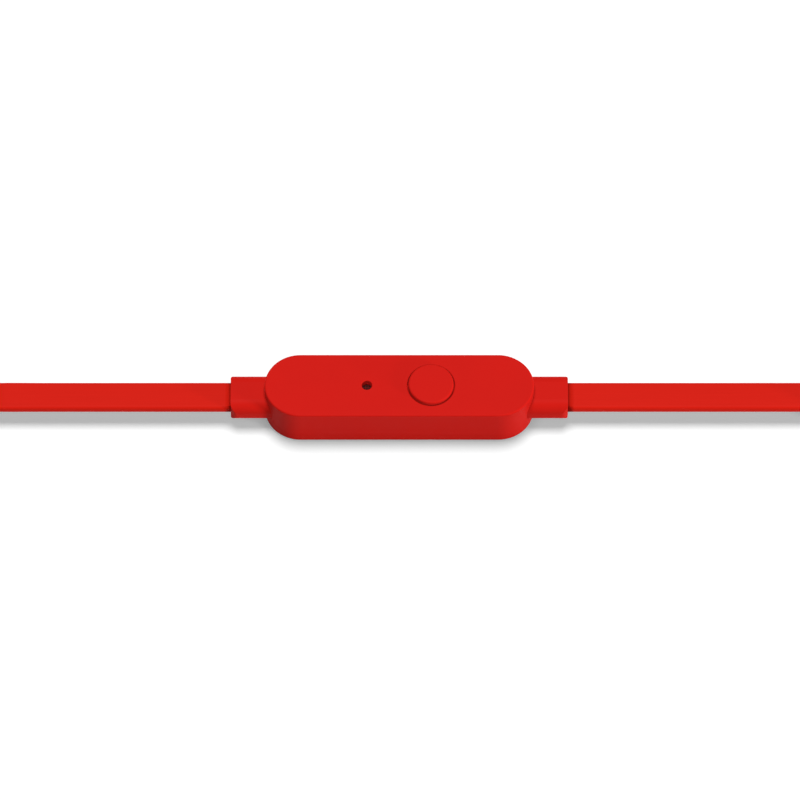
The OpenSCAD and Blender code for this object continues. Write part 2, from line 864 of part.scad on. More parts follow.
// The window that the relief comes out through
module bud_relief_window()
    rotate([0, 0, bud_relief_angle])
        translate([bud_grip_x - bud_grip_t, 0, bud_relief_z])
            round_bar(bud_d, bud_relief_w + 2 * fit, bud_relief_h + 2 * fit, bud_relief_r + fit);

module bud_barrel() color(red)
    difference() {
        translate([0, 0, back_t + seam / 2])
            union() {
                ring(bud_r, bore_r, barrel_h - seam / 2);
                translate([0, 0, driver_seat_z - seat_h - back_t - seam / 2])
                    ring(bore_r + eps, bore_r - seat_reach, seat_h);
            }
        bud_relief_window();
    }

module bud_relief() color(red)
    rotate([0, 0, bud_relief_angle])
        translate([bud_grip_x - bud_grip_t, 0, bud_relief_z]) {
            l = bud_relief_l - bud_grip_x + bud_grip_t;
            intersection() {
                round_bar(l, bud_relief_w, bud_relief_h, bud_relief_r);
                translate([0, 0, -bud_relief_h])
                    linear_extrude(2 * bud_relief_h)
                        translate([l / 2 - relief_end_r, 0])
                            round_rect(l + 2 * relief_end_r, bud_relief_w, relief_end_r);
            }
            round_bar(bud_grip_t, bud_relief_w + 2 * bud_grip, bud_grip_h, bud_relief_r);
        }

module driver_frame() color(dark)
    translate([0, 0, driver_seat_z])
        difference() {
            cylinder(r = bore_r - fit, h = driver_h);
            translate([0, 0, driver_floor])
                cylinder(r = bore_r - driver_wall, h = driver_h);
            translate([0, 0, -over])
                cylinder(d = vent_d, h = driver_h, $fn = 32);
        }

module driver_magnet() color(steel)
    translate([0, 0, driver_seat_z + driver_floor])
        difference() {
            cylinder(d = magnet_d, h = magnet_h);
            translate([0, 0, groove_floor])
                ring(coil_r + groove_half_w, coil_r - groove_half_w, magnet_h);
        }

// A thin dome on a flat rim, with the voice coil hanging from it into the magnet's gap
module diaphragm() color("#d9d2c0")
    translate([0, 0, driver_seat_z + driver_h - film_t]) {
        ring(bore_r - driver_wall - fit, coil_r, film_t);
        rotate_extrude()
            difference() {
                scale([1, dome_share])
                    circle(coil_r + fit);
                scale([1, dome_share])
                    circle(coil_r + fit - film_t);
                translate([-magnet_d, -magnet_d])
                    square([2 * magnet_d, magnet_d]);
                translate([-magnet_d, -magnet_d])
                    square([magnet_d, 2 * magnet_d]);
            }
        coil_h = driver_h - film_t - driver_floor - 2 * groove_floor;
        translate([0, 0, -coil_h])
            ring(coil_r + coil_half_t, coil_r - coil_half_t, coil_h + eps);
    }

module bud_front() color(red)
    rotate_extrude()
        polygon(concat(
            [[bud_r, front_z]],
            arc([shoulder_r, front_z + spigot_h], bud_r - shoulder_r, front_h - spigot_h, 0, 90),
            [
                [nozzle_r, shoulder_z],
                [nozzle_r, lip_top_z - lip_l - lip_ramp],
                [nozzle_r + lip_proud, lip_top_z - lip_l],
                [nozzle_r + lip_proud, lip_top_z],
                [nozzle_r, nozzle_top],
                [sound_d / 2, nozzle_top],
                [sound_d / 2, shoulder_z - throat_h],
                [bore_r - spigot_wall, front_z + spigot_h],
                [bore_r - spigot_wall, front_z - spigot_h],
                [bore_r - fit, front_z - spigot_h],
                [bore_r - fit, front_z]
            ]
        ));

module nozzle_mesh() color(dark)
    translate([0, 0, nozzle_mesh_z])
        cylinder(r = sound_d / 2 - fit / 2, h = nozzle_mesh_t);

module ear_tip() color("#3a3a3c") {
    mouth_r = sound_d / 2 + mouth_wall;
    foot = shoulder_z + fit;
    dome_z = foot + tip_h - tip_dome_h;
    core_r = shoulder_r - 2 * fit;
    skirt_r = tip_d / 2 - tip_skirt_in;
    skirt_z = dome_z - tip_skirt_h;
    dome_rx = tip_d / 2 - mouth_r;
    inner_rx = dome_rx - tip_wall;
    inner_ry = tip_dome_h - tip_wall;
    meets = acos((core_r - mouth_r) / inner_rx);
    rotate_extrude()
        polygon(concat(
            arc([mouth_r, dome_z], dome_rx, tip_dome_h, 90, 0, 16),
            [[skirt_r, skirt_z], [skirt_r - tip_wall, skirt_z]],
            arc([mouth_r, dome_z], inner_rx, inner_ry, 0, meets, 12),
            [
                [core_r, foot],
                [tip_bore_r, foot],
                [tip_bore_r, nozzle_top + tip_over],
                [mouth_r - mouth_round, nozzle_top + tip_over + tip_cone],
                [mouth_r - mouth_round, dome_z + tip_dome_h - mouth_round]
            ]
        ));
}

// ---- The model ----

remote_top_shell();
remote_bottom_cover();
remote_button();
remote_circuit_board();
switch_body();
switch_plunger();
microphone_capsule();
microphone_gasket();
microphone_mesh();
color(red) mirror([1, 0, 0]) remote_relief();  // remote_relief_left
color(red) remote_relief();  // remote_relief_right
remote_wires();

color(cord_red) main_ribbon(upper_route);  // upper_cord
splitter_shell();
splitter_cover();

color(cord_red) main_ribbon(main_lead_route);  // main_cord_lead
main_hank_lower();
main_hank_upper();
main_hank_ties();
color(cord_red) main_ribbon(plug_lead_route);  // plug_cord_lead
plug_relief_collar();
plug_body();
jack_sleeve();
jack_ring(jack_rear_ring_x);  // jack_ring_rear
jack_ring(jack_front_ring_x);  // jack_ring_front
jack_insulators();
jack_tip();

color(cord_red) branch_ribbon(left_branch_route);  // left_branch_lead
branch_hank(left_far_x, lay_z);  // left_branch_hank
color(cord_red) branch_ribbon(left_bud_route);  // left_bud_lead
color(cord_red) branch_ribbon(right_branch_route);  // right_branch_lead
branch_hank(right_far_x, lay_z + branch_pitch);  // right_branch_hank
color(cord_red) branch_ribbon(right_bud_route);  // right_bud_lead
branch_hank_ties();

at_bud(left_bud) bud_back_cap();  // left_back_cap
at_bud(left_bud) bud_barrel();  // left_barrel
at_bud(left_bud) bud_relief();  // left_bud_relief
at_bud(left_bud) driver_frame();  // left_driver_frame
at_bud(left_bud) driver_magnet();  // left_driver_magnet
at_bud(left_bud) diaphragm();  // left_diaphragm
at_bud(left_bud) bud_front();  // left_front
at_bud(left_bud) nozzle_mesh();  // left_nozzle_mesh
at_bud(left_bud) ear_tip();  // left_ear_tip
at_bud(right_bud) bud_back_cap();  // right_back_cap
at_bud(right_bud) bud_barrel();  // right_barrel
at_bud(right_bud) bud_relief();  // right_bud_relief
at_bud(right_bud) driver_frame();  // right_driver_frame
at_bud(right_bud) driver_magnet();  // right_driver_magnet
at_bud(right_bud) diaphragm();  // right_diaphragm
at_bud(right_bud) bud_front();  // right_front
at_bud(right_bud) nozzle_mesh();  // right_nozzle_mesh
at_bud(right_bud) ear_tip();  // right_ear_tip
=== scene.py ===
# %% [markdown]
# # A pair of in-ear earphones on a flat cord
#
# The set is one long thing: a pill-shaped remote in the middle, a flat cord that leaves it
# both ways, a plug at one end and two earbuds at the other. The solids are already there, in
# their real places. This script gives them a camera, soft cords, finishes and light, one
# step at a time. All lengths are in metres, so `mm` turns millimetres into them.

# %% Load the solids
import math

import bmesh
import bpy
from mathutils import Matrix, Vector


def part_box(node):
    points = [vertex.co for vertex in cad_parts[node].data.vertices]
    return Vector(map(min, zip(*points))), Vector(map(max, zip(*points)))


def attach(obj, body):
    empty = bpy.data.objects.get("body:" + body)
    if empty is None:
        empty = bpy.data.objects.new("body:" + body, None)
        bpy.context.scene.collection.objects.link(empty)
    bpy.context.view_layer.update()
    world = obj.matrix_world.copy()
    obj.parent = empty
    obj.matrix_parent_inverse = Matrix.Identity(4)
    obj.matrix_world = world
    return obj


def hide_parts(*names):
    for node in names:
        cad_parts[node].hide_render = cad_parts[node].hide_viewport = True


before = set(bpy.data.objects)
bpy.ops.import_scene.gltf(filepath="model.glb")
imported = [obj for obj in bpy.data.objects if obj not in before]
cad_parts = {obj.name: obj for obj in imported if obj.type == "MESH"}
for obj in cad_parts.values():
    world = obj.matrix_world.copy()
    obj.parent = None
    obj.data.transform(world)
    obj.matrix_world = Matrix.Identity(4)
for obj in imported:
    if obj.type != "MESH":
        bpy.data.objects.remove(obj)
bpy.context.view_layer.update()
mm = 0.001


# %% [markdown]
# ## The camera
#
# The remote is seen from its front and from high above, with hardly any perspective: its
# front and back edges look parallel. A long lens, far away, gives that. The lens is worked
# out from the stretch of cord that has to fill the picture's width.

# %% Place the camera
ELEVATION = math.radians(59.5)
VIEW_WIDTH = 101.14 * mm
CAMERA_DISTANCE = 1.1
SENSOR = 36
AIM_RIGHT, AIM_DOWN = 0.087 * mm, 0.33 * mm
NEAREST, FARTHEST = 0.05, 20
remote_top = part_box("remote_top_shell")[1].z
cord_height = remote_top / 2
toward_camera = Vector((0, -math.cos(ELEVATION), math.sin(ELEVATION)))
up_in_picture = Vector((0, math.sin(ELEVATION), math.cos(ELEVATION)))
aim = Vector((AIM_RIGHT, 0, cord_height)) - AIM_DOWN * up_in_picture

bpy.ops.object.camera_add(location=aim + CAMERA_DISTANCE * toward_camera)
camera = bpy.context.object
camera.name = "camera"
camera.rotation_euler = (-toward_camera).to_track_quat("-Z", "Y").to_euler()
camera.data.sensor_width = SENSOR
camera.data.lens = SENSOR * CAMERA_DISTANCE / VIEW_WIDTH
camera.data.clip_start, camera.data.clip_end = NEAREST, FARTHEST
bpy.context.scene.camera = camera
print("lens, in mm:", round(camera.data.lens, 1))


# %% [markdown]
# ## The route of a cord
#
# The cord is an extruded ribbon, 3.9 mm wide and 1.2 mm thick, split along its middle into
# two for the branches. A ribbon only bends easily across its thickness, so the folded
# length stands on edge, like a belt that is wound up. Each point of a route has a place and
# a roll: 0 lies flat, 90 stands on edge. The turns of a hank are worked out by a loop.

# %% Sizes of the cord and of its hanks, in millimetres
CORD_WIDTH, CORD_THICKNESS = 3.9, 1.2
BRANCH_WIDTH = 2.0
TURN_PITCH, BEND_RADIUS = 1.35, 10.2
MAIN_LOW, MAIN_HIGH = 2.4, 6.4
BRANCH_LOW, BRANCH_HIGH = 1.45, 3.5
MAIN_NEAR, MAIN_FAR = -62.6, -112.6
BRANCH_NEAR, LEFT_FAR, RIGHT_FAR = 80, 121, 124
LEFT_BUD, RIGHT_BUD = 82, 100
RELIEF_SLANT = math.radians(22)
RELIEF_REACHES = (14.5, 13)


def front(turn):
    """Where a run at the front lies, in y."""
    return turn * TURN_PITCH


def back(turn):
    """Where a run at the back lies, in y."""
    return 2 * BEND_RADIUS - (turn + 0.5) * TURN_PITCH


print("runs at the front, in y:", [front(n) for n in range(3)])

# %% The parts of a hank


def bend(x, y_from, y_to, outward, height, steps=20):
    """Half a turn round the end of a hank at x, from one run to another."""
    middle, radius = (y_from + y_to) / 2, abs(y_to - y_from) / 2
    start = -90 if y_from < y_to else 90
    side = outward if y_from < y_to else -outward
    points = []
    for i in range(steps + 1):
        a = math.radians(start + side * 180 * i / steps)
        points.append((x + radius * math.cos(a), middle + radius * math.sin(a), height, 90))
    return points


def run(x_from, x_to, y, z_from, z_to, steps=16):
    """A straight run of a hank, which may climb from one layer to the next."""
    points = []
    for i in range(1, steps):
        t = i / steps
        climb = t * t * (3 - 2 * t)
        points.append((x_from + (x_to - x_from) * t, y, z_from + (z_to - z_from) * climb, 90))
    return points


def loops(near, far, turns, outward):
    """The runs and bends between the given places. Each turn is (y, next y, z, next z)."""
    points = []
    at_near = True
    for y, next_y, z, next_z in turns:
        start, end = (near, far) if at_near else (far, near)
        points += run(start, end, y, z, next_z)
        points += bend(end, y, next_y, outward if at_near else -outward, next_z)
        at_near = not at_near
    return points


print("points in one bend:", len(bend(MAIN_FAR, front(0), back(0), -1, MAIN_LOW)))

# %% Lay out the four routes
cord_z = cord_height / mm
upper_route = [(x, 0, cord_z, 0) for x in (21.3, 26, 32, 38, 44, 50, 54.2)]

main_route = [(x, 0, cord_z, 0) for x in (-21.3, -26, -30, -35, -40, -45, -50.6)]
main_route += [(-53, 0, 2.92, 15), (-55.5, 0, 2.72, 42), (-58, 0, 2.5, 70)]
main_route += [(-60.5, 0, MAIN_LOW, 88), (MAIN_NEAR, 0, MAIN_LOW, 90)]
low, high = MAIN_LOW, MAIN_HIGH
main_route += loops(MAIN_NEAR, MAIN_FAR, [
    (front(0), back(0), low, low), (back(0), front(1), low, low),
    (front(1), back(1), low, low), (back(1), front(2), low, low),
    (front(2), back(1), low, high), (back(1), front(1), high, high),
    (front(1), back(0), high, high), (back(0), front(0), high, high),
], outward=-1)
main_route += [(-64, 0, MAIN_HIGH, 90), (-66.5, 0, 6.8, 90), (-69, 0, 7.45, 90)]
main_route += [(-72, 0, 8.6, 90), (-75, 0.2, 9.75, 102), (-78, 0.7, 10.7, 130)]
main_route += [(-80.5, 1.15, 11.15, 158), (-82.5, 1.3, 11.3, 180), (-84, 1.3, 11.3, 180)]


def branch_turns(height):
    """Three runs at the front and two at the back. The last bend leads toward the earbud."""
    order = [front(0), back(0), front(1), back(1), front(2), back(2)]
    return [(a, b, height, height) for a, b in zip(order, order[1:])]


def into_relief(bud_x):
    """The last two points of a branch, straight into the slanted relief of its earbud."""
    bud_y = back(0) / 2
    points = []
    for reach in RELIEF_REACHES:
        x, y = reach * math.cos(RELIEF_SLANT), reach * math.sin(RELIEF_SLANT)
        points.append((bud_x + x, bud_y + y, BRANCH_HIGH, 90))
    return points


left_route = [(68.2, -1.025, cord_z, 0), (69.5, -1.025, cord_z, 0), (72, -0.97, 2.56, 20)]
left_route += [(74.5, -0.73, 2.01, 45), (77, -0.35, 1.58, 70), (79, 0, BRANCH_LOW, 90)]
left_route += [(BRANCH_NEAR, 0, BRANCH_LOW, 90)]
left_route += loops(BRANCH_NEAR, LEFT_FAR, branch_turns(BRANCH_LOW), outward=1)
left_route += [(117, back(2), BRANCH_LOW, 90), (112, back(2), 1.6, 90), (108, back(2), 2, 90)]
left_route += [(104.4, 17, 2.5, 90), (102.1, 16.9, 2.8, 90), (99.8, 16.6, 3.1, 90)]
left_route += [(97.6, 16.05, 3.3, 90)] + into_relief(LEFT_BUD)

right_route = [(68.2, 1.025, cord_z, 0), (69.5, 1.025, cord_z, 0), (72, 0.97, 3.26, 20)]
right_route += [(74.5, 0.73, 3.46, 45), (77, 0.35, 3.51, 70), (79, 0, BRANCH_HIGH, 90)]
right_route += [(BRANCH_NEAR, 0, BRANCH_HIGH, 90)]
right_route += loops(BRANCH_NEAR, RIGHT_FAR, branch_turns(BRANCH_HIGH), outward=1)
right_route += [(122.4, back(2), BRANCH_HIGH, 90), (120.1, 16.9, BRANCH_HIGH, 90)]
right_route += [(117.8, 16.6, BRANCH_HIGH, 90), (115.6, 16.05, BRANCH_HIGH, 90)]
right_route += into_relief(RIGHT_BUD)
for name, route in (("upper", upper_route), ("main", main_route), ("left", left_route),
                    ("right", right_route)):
    print("points in the", name, "route:", len(route))


# %% [markdown]
# ## The ribbon along a route
#
# A curve object can't change from flat to upright along its length without kinks in its
# twist, so the ribbon is made ring by ring. Each ring is the section of the cord: a
# rectangle whose corners are rounded by the die that it was pressed through. The map of the
# surface runs along the cord, so that a pattern can follow it through every bend.

# %% The section of the cord
CORNER_STEPS = 4
RIBBON_CORNER = 0.42


def ribbon_section(width, thickness):
    """The rounded section as (across, through), in millimetres."""
    points = []
    for cx, cy, start in ((1, 1, 0), (-1, 1, 90), (-1, -1, 180), (1, -1, 270)):
        for i in range(CORNER_STEPS + 1):
            a = math.radians(start + 90 * i / CORNER_STEPS)
            points.append((
                cx * (width / 2 - RIBBON_CORNER) + RIBBON_CORNER * math.cos(a),
                cy * (thickness / 2 - RIBBON_CORNER) + RIBBON_CORNER * math.sin(a),
            ))
    return points


print("points round the cord's section:", len(ribbon_section(CORD_WIDTH, CORD_THICKNESS)))

# %% A smooth curve through the points of a route


def smooth_route(route, spacing=1.2):
    """The same route with points close together, on one smooth curve through all of them."""
    points = [route[0]]
    for i in range(len(route) - 1):
        before, here = route[max(i - 1, 0)], route[i]
        after, beyond = route[i + 1], route[min(i + 2, len(route) - 1)]
        steps = max(1, round(math.dist(here[:3], after[:3]) / spacing))
        for k in range(1, steps + 1):
            t = k / steps
            points.append(tuple(
                0.5 * (2 * b + (c - a) * t + (2 * a - 5 * b + 4 * c - d) * t * t
                       + (3 * b - a - 3 * c + d) * t ** 3)
                for a, b, c, d in zip(before, here, after, beyond)
            ))
    return points


print("points of the main route, once smooth:", len(smooth_route(main_route)))

# %% Make a ribbon ring by ring


def place_rings(mesh, section, route):
    """Each ring's points, and how far along the cord it lies, in metres."""
    places = [Vector(point[:3]) for point in route]
    rings = []
    travelled = [0]
    for i, place in enumerate(places):
        ahead = (places[min(i + 1, len(places) - 1)] - places[max(i - 1, 0)]).normalized()
        side = Vector((0, 0, 1)).cross(ahead).normalized()
        up = ahead.cross(side)
        roll = math.radians(route[i][3])
        across = side * math.cos(roll) + up * math.sin(roll)
        through = up * math.cos(roll) - side * math.sin(roll)
        rings.append([mesh.verts.new((place + u * across + v * through) * mm) for u, v in section])
        if i:
            travelled.append(travelled[-1] + (place - places[i - 1]).length * mm)
    return rings, travelled


def join_rings(mesh, section, rings, travelled):
    """The ribbon's skin and its two ends, with a map that runs along it, in metres."""
    girth = [0]
    for a, b in zip(section, section[1:] + section[:1]):
        girth.append(girth[-1] + math.dist(a, b) * mm)
    surface_map = mesh.loops.layers.uv.new("along_cord")
    count = len(section)
    for i in range(len(rings) - 1):
        for k in range(count):
            n = (k + 1) % count
            face = mesh.faces.new((rings[i][k], rings[i][n], rings[i + 1][n], rings[i + 1][k]))
            corners = ((i, k), (i, k + 1), (i + 1, k + 1), (i + 1, k))
            for loop, (ring, around) in zip(face.loops, corners):
                loop[surface_map].uv = (travelled[ring], girth[around])
    mesh.faces.new(list(reversed(rings[0])))
    mesh.faces.new(rings[-1])
    bmesh.ops.recalc_face_normals(mesh, faces=mesh.faces)


def make_ribbon(name, route, width):
    """The ribbon's object, the middle of each of its rings and its length, in metres."""
    section = ribbon_section(width, CORD_THICKNESS)
    mesh = bmesh.new()
    rings, travelled = place_rings(mesh, section, route)
    join_rings(mesh, section, rings, travelled)
    data = bpy.data.meshes.new(name)
    mesh.to_mesh(data)
    mesh.free()
    ribbon = bpy.data.objects.new(name, data)
    bpy.context.scene.collection.objects.link(ribbon)
    bpy.ops.object.select_all(action="DESELECT")
    ribbon.select_set(True)
    bpy.context.view_layer.objects.active = ribbon
    bpy.ops.object.shade_smooth()
    bpy.ops.object.modifier_add(type="WEIGHTED_NORMAL")
    bpy.ops.object.modifier_apply(modifier=ribbon.modifiers[-1].name)
    print(name, "length, in mm:", round(travelled[-1] / mm, 1), "rings:", len(rings))
    return ribbon, [Vector(point[:3]) * mm for point in route], travelled[-1]


upper_cord, upper_line, upper_length = make_ribbon(
    "cord_to_splitter", smooth_route(upper_route), CORD_WIDTH)
main_cord, main_line, main_length = make_ribbon(
    "cord_to_plug", smooth_route(main_route), CORD_WIDTH)
left_cord, left_line, left_length = make_ribbon(
    "cord_to_left_earbud", smooth_route(left_route), BRANCH_WIDTH)
right_cord, right_line, right_length = make_ribbon(
    "cord_to_right_earbud", smooth_route(right_route), BRANCH_WIDTH)

for cord in (upper_cord, main_cord, left_cord, right_cord):
    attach(cord, "root")
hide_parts("upper_cord")
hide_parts("main_cord_lead", "main_hank_lower", "main_hank_upper", "plug_cord_lead")
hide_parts("left_branch_lead", "left_branch_hank", "left_bud_lead")
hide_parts("right_branch_lead", "right_branch_hank", "right_bud_lead")


# %% [markdown]
# ## The ear tips
#
# An ear tip is one piece of silicone: a thick core that grips the nozzle, and a thin dome
# that turns over it like the cap of a mushroom and closes the ear. It could be spun from an
# outline, but as a turned shape it is just as easy to start from a circle, the mouth, and to
# extrude it ring by ring: out over the dome, round the rim, back up inside, and through the
# bore. The rim and the mouth are rounded, because sharp silicone would tear and scratch.

# %% The outline of a tip, as (radius, height above its foot), in millimetres
MOUTH_RADIUS, MOUTH_ROUND = 2.2, 0.2
DOME_REACH, DOME_HEIGHT, DOME_FOOT = 3.8, 5, 2.3
TIP_WALL, TIP_HEIGHT = 0.5, 7.3
RIM_RADIUS, RIM_HEIGHT, RIM_ROUND = 5.6, 1.35, 0.15
CORE_RADIUS, CORE_BORE = 3.5, 2.75
CORE_MIDDLE, CORE_EDGE = 4, 0.1
BORE_END, NECK_START = 5.25, 5.65


def arc(middle, reach_out, reach_up, start, end, steps):
    """Points on part of an ellipse, angles in degrees, from 0 at the outside to 90 on top."""
    points = []
    for i in range(steps + 1):
        a = math.radians(start + (end - start) * i / steps)
        points.append((middle[0] + reach_out * math.cos(a), middle[1] + reach_up * math.sin(a)))
    return points


core_angle = math.degrees(math.acos((CORE_RADIUS - MOUTH_RADIUS) / (DOME_REACH - TIP_WALL)))
tip_outline = arc((MOUTH_RADIUS, DOME_FOOT), DOME_REACH, DOME_HEIGHT, 90, 0, steps=28)
tip_outline += arc((RIM_RADIUS, RIM_HEIGHT), TIP_WALL / 2, RIM_ROUND, 0, -180, steps=8)
tip_outline += arc((MOUTH_RADIUS, DOME_FOOT), DOME_REACH - TIP_WALL, DOME_HEIGHT - TIP_WALL,
                   0, core_angle, steps=20)
tip_outline += [(CORE_RADIUS, CORE_MIDDLE), (CORE_RADIUS, CORE_EDGE), (CORE_RADIUS - CORE_EDGE, 0)]
tip_outline += [(CORE_BORE + CORE_EDGE, 0), (CORE_BORE, CORE_EDGE), (CORE_BORE, BORE_END)]
tip_outline += [(MOUTH_RADIUS - MOUTH_ROUND, NECK_START)]
tip_outline += arc((MOUTH_RADIUS, TIP_HEIGHT - MOUTH_ROUND), MOUTH_ROUND, MOUTH_ROUND,
                   180, 90, steps=6)
print("rings in a tip:", len(tip_outline))

# %% Turn one tip and copy it
TIP_SEGMENTS = 96
SMOOTH_BELOW = math.radians(50)
left_low, left_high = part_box("left_ear_tip")
right_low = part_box("right_ear_tip")[0]
tip_axis = ((left_low.x + left_high.x) / 2, (left_low.y + left_high.y) / 2)
tip_foot = left_low.z

radius, height = tip_outline[0]
bpy.ops.object.select_all(action="DESELECT")
bpy.ops.mesh.primitive_circle_add(
    vertices=TIP_SEGMENTS, radius=radius * mm, location=(*tip_axis, tip_foot + height * mm))
left_tip = bpy.context.object
left_tip.name = "left_silicone_tip"
bpy.ops.object.mode_set(mode="EDIT")
for next_radius, next_height in tip_outline[1:]:
    bpy.ops.mesh.extrude_region_move(
        TRANSFORM_OT_translate={"value": (0, 0, (next_height - height) * mm)})
    share = next_radius / radius
    bpy.ops.transform.resize(
        value=(share, share, 1), center_override=(*tip_axis, tip_foot + next_height * mm))
    radius, height = next_radius, next_height
bpy.ops.mesh.select_all(action="SELECT")
bpy.ops.mesh.remove_doubles(threshold=0.001 * mm)
bpy.ops.mesh.normals_make_consistent(inside=False)
bpy.ops.object.mode_set(mode="OBJECT")
bpy.ops.object.transform_apply(location=True, rotation=True, scale=True)
bpy.ops.object.shade_smooth_by_angle(angle=SMOOTH_BELOW)

bpy.ops.object.duplicate(linked=False)
right_tip = bpy.context.object
right_tip.name = "right_silicone_tip"
right_tip.location = (right_low.x - left_low.x, 0, 0)
bpy.ops.object.transform_apply(location=True, rotation=True, scale=True)
for side, tip in (("left", left_tip), ("right", right_tip)):
    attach(tip, side + "_tip")
    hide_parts(side + "_ear_tip")
    print(tip.name, "faces:", len(tip.data.polygons))


# %% [markdown]
# ## Colours and nodes
#
# Colours are written as they look on a screen, and the renderer needs them linear. One
# function does that. Another one adds a node, with its settings and what feeds its sockets.
# Nearly all values of a noise texture lie between 0.3 and 0.7, so wherever a noise steers
# a tone or a roughness, it is that span which is stretched.

# %% Helpers for materials
CORD_RED = "#da1f12"
NOISE_LOW, NOISE_HIGH = 0.3, 0.7


def linear(code):
    """An sRGB colour such as #d3201b as the linear colour that the shader takes."""
    channels = [int(code[i:i + 2], 16) / 255 for i in (1, 3, 5)]
    return [c / 12.92 if c <= 0.04045 else ((c + 0.055) / 1.055) ** 2.4 for c in channels] + [1]


def add_node(tree, kind, inputs=None, **settings):
    """A new node. Inputs are numbers, colours or the sockets of other nodes."""
    node = tree.nodes.new(kind)
    for name, value in settings.items():
        setattr(node, name, value)
    for name, value in (inputs or {}).items():
        if isinstance(value, bpy.types.NodeSocket):
            tree.links.new(value, node.inputs[name])
        else:
            node.inputs[name].default_value = value
    return node


def new_material(name, **inputs):
    """A material with its shader's inputs set, and its node tree."""
    material = bpy.data.materials.new(name)
    material.use_nodes = True
    shader = material.node_tree.nodes["Principled BSDF"]
    for key, value in inputs.items():
        shader.inputs[key.replace("_", " ")].default_value = value
    return material, material.node_tree, shader


print("the cord's red, linear:", [round(channel, 3) for channel in linear(CORD_RED)])

# %% [markdown]
# ## Satin moulded ABS
#
# The remote, the splitter, the plug's body and the earbuds are injection-moulded ABS, dyed
# red right through. The mould was blasted with fine beads, and that grain breaks up nearly
# every reflection, so the specular level is low and the colour stays deep and even. The
# grain is drawn at 0.18 mm, because the real one, near 0.03 mm, wouldn't show at all. A
# noise texture takes no scale above 1000, so the grain's coordinates are stretched instead.

# %% Satin ABS
CLOUD_SIZE = 6 * mm
TONE_SPREAD, WEAR_SPREAD = 0.015, 0.1


def moulded(name, colour, roughness, ior, specular, grain, depth):
    """A dyed, moulded material. Its bumps are grain wide and depth high, in metres."""
    material, tree, shader = new_material(
        name, Roughness=roughness, IOR=ior, Specular_IOR_Level=specular)
    place = add_node(tree, "ShaderNodeTexCoord").outputs["Object"]
    cloud = add_node(tree, "ShaderNodeTexNoise", {
        "Vector": place, "Scale": 1 / CLOUD_SIZE, "Detail": 2.0, "Roughness": 0.5})
    tone = add_node(tree, "ShaderNodeMapRange", {
        "Value": cloud.outputs["Fac"], "From Min": NOISE_LOW, "From Max": NOISE_HIGH,
        "To Min": 1 - TONE_SPREAD, "To Max": 1 + TONE_SPREAD})
    dyed = add_node(tree, "ShaderNodeHueSaturation", {
        "Color": linear(colour), "Value": tone.outputs["Result"]})
    grains = add_node(tree, "ShaderNodeMapping", {"Vector": place, "Scale": [1 / grain] * 3})
    beads = add_node(tree, "ShaderNodeTexNoise", {
        "Vector": grains.outputs["Vector"], "Scale": 1.0, "Detail": 1.0, "Roughness": 0.5})
    relief = add_node(tree, "ShaderNodeBump", {
        "Height": beads.outputs["Fac"], "Strength": 1.0, "Distance": depth})
    wear = add_node(tree, "ShaderNodeMapRange", {
        "Value": cloud.outputs["Fac"], "From Min": NOISE_LOW, "From Max": NOISE_HIGH,
        "To Min": roughness * (1 - WEAR_SPREAD), "To Max": roughness * (1 + WEAR_SPREAD)})
    tree.links.new(dyed.outputs["Color"], shader.inputs["Base Color"])
    tree.links.new(wear.outputs["Result"], shader.inputs["Roughness"])
    tree.links.new(relief.outputs["Normal"], shader.inputs["Normal"])
    return material


satin_abs = moulded("satin_moulded_ABS", "#d51c15", roughness=0.42, ior=1.53, specular=0.02,
                    grain=0.18 * mm, depth=0.006 * mm)
black_abs = moulded("black_moulded_ABS", "#1d1d1f", roughness=0.4, ior=1.53, specular=0.5,
                    grain=0.18 * mm, depth=0.001 * mm)
print("made:", satin_abs.name, black_abs.name)

# %% [markdown]
# ## Soft TPE and rubber
#
# The strain reliefs are moulded from a thermoplastic elastomer, in nearly the same red as
# the ABS but a touch duller. The silicone of the ear tips and the rubber round the
# microphone are made the same way, and differ in colour, in roughness and in their index.

# %% Elastomers
soft_tpe = moulded("soft_moulded_TPE", "#d51c14", roughness=0.5, ior=1.5, specular=0.03,
                   grain=0.25 * mm, depth=0.008 * mm)
silicone = moulded("moulded_silicone", "#2f2f32", roughness=0.48, ior=1.41, specular=0.5,
                   grain=0.3 * mm, depth=0.004 * mm)
silicone.node_tree.nodes["Principled BSDF"].inputs["Sheen Weight"].default_value = 0.15
gasket_rubber = moulded("moulded_EPDM_rubber", "#17171a", roughness=0.6, ior=1.5, specular=0.5,
                        grain=0.2 * mm, depth=0.002 * mm)
print("made:", soft_tpe.name, silicone.name, gasket_rubber.name)

# %% [markdown]
# ## Extruded cord
#
# The cord is a soft elastomer, pressed through a die. It has no grain, is a little more
# orange than the mouldings, and the die draws very faint lines along it. They follow the
# surface map, 0.25 mm apart.

